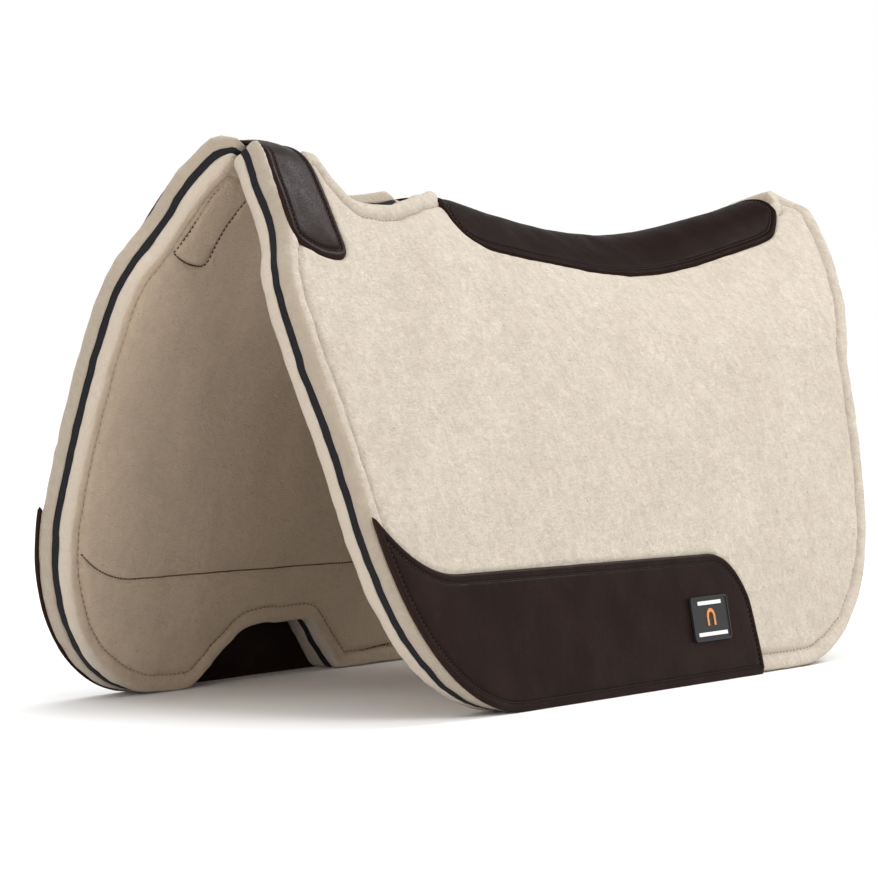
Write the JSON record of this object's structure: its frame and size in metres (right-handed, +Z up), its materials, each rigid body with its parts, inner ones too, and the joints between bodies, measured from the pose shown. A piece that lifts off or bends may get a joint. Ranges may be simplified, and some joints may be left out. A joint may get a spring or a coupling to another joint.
{
  "type": "western saddle pad",
  "caption": "Contoured wool felt saddle pad: three bonded layers on each side, open wither relief, arched ridge with leather spine and wither strap, and wear leathers along the bottom edges.",
  "frame": {"origin": "middle of the bounding box at the floor, under the ridge, with the two bottom edges standing on the floor", "axes": "+Y runs along the horse's back towards the tail, with the wither end at -Y; +X points to the horse's left side; +Z is up"},
  "size_m": [0.31, 0.8174, 0.3741],
  "materials": {
    "outer_felt": "dense pressed wool felt, cream, slightly mottled, matte",
    "inner_felt": "dense pressed wool felt, beige, matte",
    "core": "black closed-cell foam sheet, matte",
    "leather": "dark brown oiled leather with a soft sheen",
    "dark_thread": "waxed thread, matte",
    "tan_thread": "waxed thread, matte",
    "label_rubber": "moulded black rubber, matte",
    "label_orange": "moulded rubber, matte",
    "label_white": "moulded rubber, matte"
  },
  "bodies": {
    "crown": {"wither_strap": "leather", "wither_strap_stitching": "dark_thread", "spine_leather": "leather", "spine_leather_stitching": "dark_thread", "ridge_seam_stitching": "tan_thread", "crown_outer_felt_left": "outer_felt", "crown_core_left": "core", "crown_inner_felt_left": "inner_felt", "crown_edge_stitching_left": "tan_thread", "crown_outer_felt_right": "outer_felt", "crown_core_right": "core", "crown_inner_felt_right": "inner_felt", "crown_edge_stitching_right": "tan_thread"},
    "flap_left": {"flap_outer_felt_left": "outer_felt", "flap_core_left": "core", "flap_inner_felt_left": "inner_felt", "flap_edge_stitching_left": "tan_thread", "wear_leather_left": "leather", "wear_leather_stitching_left": "dark_thread", "label_patch_left": "label_rubber", "label_emblem_left": "label_orange", "label_bars_left": "label_white"},
    "flap_right": {"flap_outer_felt_right": "outer_felt", "flap_core_right": "core", "flap_inner_felt_right": "inner_felt", "flap_edge_stitching_right": "tan_thread", "wear_leather_right": "leather", "wear_leather_stitching_right": "dark_thread", "label_patch_right": "label_rubber", "label_emblem_right": "label_orange", "label_bars_right": "label_white"}
  },
  "joints": [
    {"name": "left_side_flex", "type": "hinge", "parent": "crown", "child": "flap_left", "pos_m": [0.0869, 0, 0.2075], "axis": [0, -1, 0], "range_deg": [-20, 35], "stiffness_Nm_per_rad": 12},
    {"name": "right_side_flex", "type": "hinge", "parent": "crown", "child": "flap_right", "pos_m": [-0.0869, 0, 0.2075], "axis": [0, 1, 0], "range_deg": [-20, 35], "stiffness_Nm_per_rad": 12}
  ]
}
